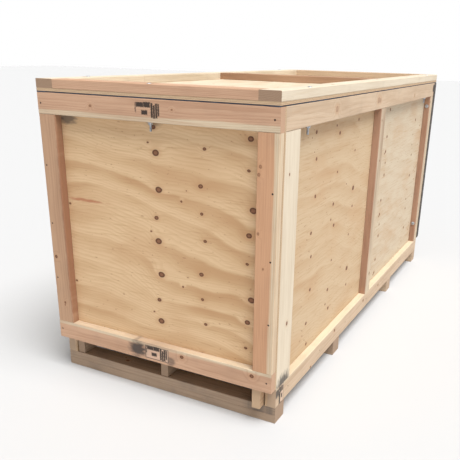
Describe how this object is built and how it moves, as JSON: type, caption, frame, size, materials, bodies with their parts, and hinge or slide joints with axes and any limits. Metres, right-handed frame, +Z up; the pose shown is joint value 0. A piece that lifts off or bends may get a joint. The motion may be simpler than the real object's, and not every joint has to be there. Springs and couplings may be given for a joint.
{
  "type": "shipping crate",
  "caption": "Long plywood and lumber export crate with a bolted, gasketed lid and end panel, full side walls and a skid base for forklift entry.",
  "frame": {"origin": "on the ground under the middle of the crate's bounding box", "axes": "+Z up, +Y along the crate from the nailed end panel to the removable one, +X to the right seen from the nailed end"},
  "size_m": [1.142, 2.727, 1.372],
  "materials": {
    "lumber": "sawn softwood, reddish tan",
    "plywood": "rotary-cut pine face with knots",
    "foam_gasket": "closed-cell foam, dark blue-grey",
    "edge_rubber": "matte charcoal rubber",
    "zinc_steel": "zinc plated",
    "nail_steel": "dark bright-cut nail"
  },
  "bodies": {
    "crate": {"floor_front_sheet": "plywood", "floor_rear_sheet": "plywood", "front_panel_bottom_rail": "lumber", "front_panel_left_stile": "lumber", "front_panel_nails": "nail_steel", "front_panel_right_stile": "lumber", "front_panel_sheet": "plywood", "front_panel_top_rail": "lumber", "left_bottom_rail": "lumber", "left_front_post": "lumber", "left_middle_post": "lumber", "left_rear_post": "lumber", "left_stringer": "lumber", "left_top_rail": "lumber", "left_wall_front_sheet": "plywood", "left_wall_rear_sheet": "plywood", "middle_stringer": "lumber", "right_bottom_rail": "lumber", "right_front_post": "lumber", "right_middle_post": "lumber", "right_rear_post": "lumber", "right_stringer": "lumber", "right_top_rail": "lumber", "right_wall_front_sheet": "plywood", "right_wall_rear_sheet": "plywood", "side_wall_nails": "nail_steel", "skid_1_lower_board": "lumber", "skid_1_upper_board": "lumber", "skid_2_lower_board": "lumber", "skid_2_upper_board": "lumber", "skid_3_lower_board": "lumber", "skid_3_upper_board": "lumber", "skid_4_lower_board": "lumber", "skid_4_upper_board": "lumber", "skid_nails": "nail_steel"},
    "lid": {"lid_cross_cleat": "lumber", "lid_front_cleat": "lumber", "lid_front_sheet": "plywood", "lid_gasket": "foam_gasket", "lid_left_front_cleat": "lumber", "lid_left_rear_cleat": "lumber", "lid_rear_cleat": "lumber", "lid_rear_sheet": "plywood", "lid_right_cleat": "lumber"},
    "rear_panel": {"rear_gasket": "foam_gasket", "rear_left_edge_strip": "edge_rubber", "rear_panel_bottom_rail": "lumber", "rear_panel_left_stile": "lumber", "rear_panel_right_stile": "lumber", "rear_panel_sheet": "plywood", "rear_panel_top_rail": "lumber", "rear_right_edge_strip": "edge_rubber"},
    "lid_bolts": {"lid_bolts": "zinc_steel"},
    "lid_nuts": {"lid_nuts": "zinc_steel", "lid_nut_washers": "zinc_steel"},
    "rear_bolts": {"rear_panel_bolts": "zinc_steel", "rear_panel_head_washers": "zinc_steel"},
    "rear_nuts": {"rear_panel_nuts": "zinc_steel", "rear_panel_nut_washers": "zinc_steel"}
  },
  "joints": [
    {"name": "lid_lift", "type": "slide", "parent": "crate", "child": "lid", "axis": [0, 0, 1], "range_m": [0, 1.2]},
    {"name": "rear_panel_pull", "type": "slide", "parent": "crate", "child": "rear_panel", "axis": [0, 1, 0], "range_m": [0, 0.8]},
    {"name": "lid_bolts_draw", "type": "slide", "parent": "lid", "child": "lid_bolts", "axis": [0, 0, 1], "range_m": [0, 0.2]},
    {"name": "lid_nuts_unscrew", "type": "slide", "parent": "crate", "child": "lid_nuts", "axis": [0, 0, -1], "range_m": [0, 0.036]},
    {"name": "rear_bolts_draw", "type": "slide", "parent": "crate", "child": "rear_bolts", "axis": [0, -1, 0], "range_m": [0, 0.2]},
    {"name": "rear_nuts_unscrew", "type": "slide", "parent": "rear_panel", "child": "rear_nuts", "axis": [0, 1, 0], "range_m": [0, 0.036]}
  ]
}
